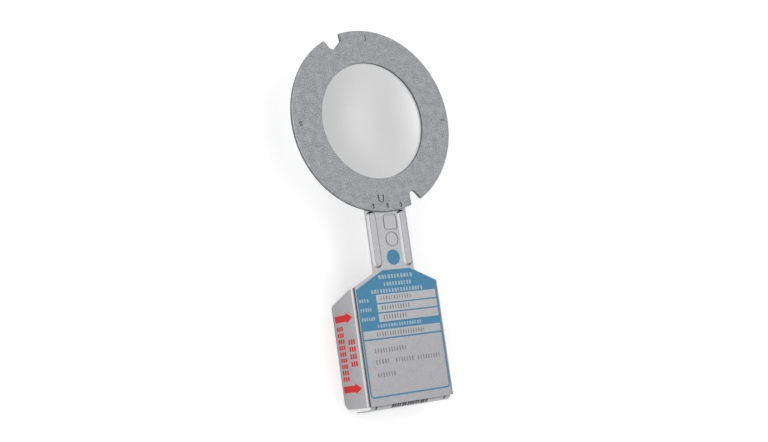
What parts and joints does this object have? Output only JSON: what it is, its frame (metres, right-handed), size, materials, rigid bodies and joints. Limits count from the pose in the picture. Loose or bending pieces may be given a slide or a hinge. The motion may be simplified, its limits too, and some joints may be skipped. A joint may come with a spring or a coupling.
{
  "type": "rupture disc",
  "caption": "Reverse-acting rupture disc: a thin domed foil between two notched flat rings, carried by a ribbed stem with a folded sheet-metal tag.",
  "frame": {"origin": "centre of the bore on the outlet ring's outer face", "axes": "+Z along the bore axis in the flow direction, out of the outlet face; the tag lies toward -Y; +X to the right when the outlet face is seen with the tag below"},
  "size_m": [0.082, 0.167, 0.0192],
  "materials": {
    "ring_steel": "matte",
    "foil": "satin",
    "tag_sheet": "satin",
    "blue_ink": "satin",
    "red_ink": "satin",
    "grey_ink": "matte",
    "black_ink": "matte",
    "pale_ink": "matte"
  },
  "bodies": {
    "root": {"outlet_ring": "ring_steel", "inlet_ring": "ring_steel", "rupture_foil": "foil", "tag": "tag_sheet"}
  },
  "joints": []
}
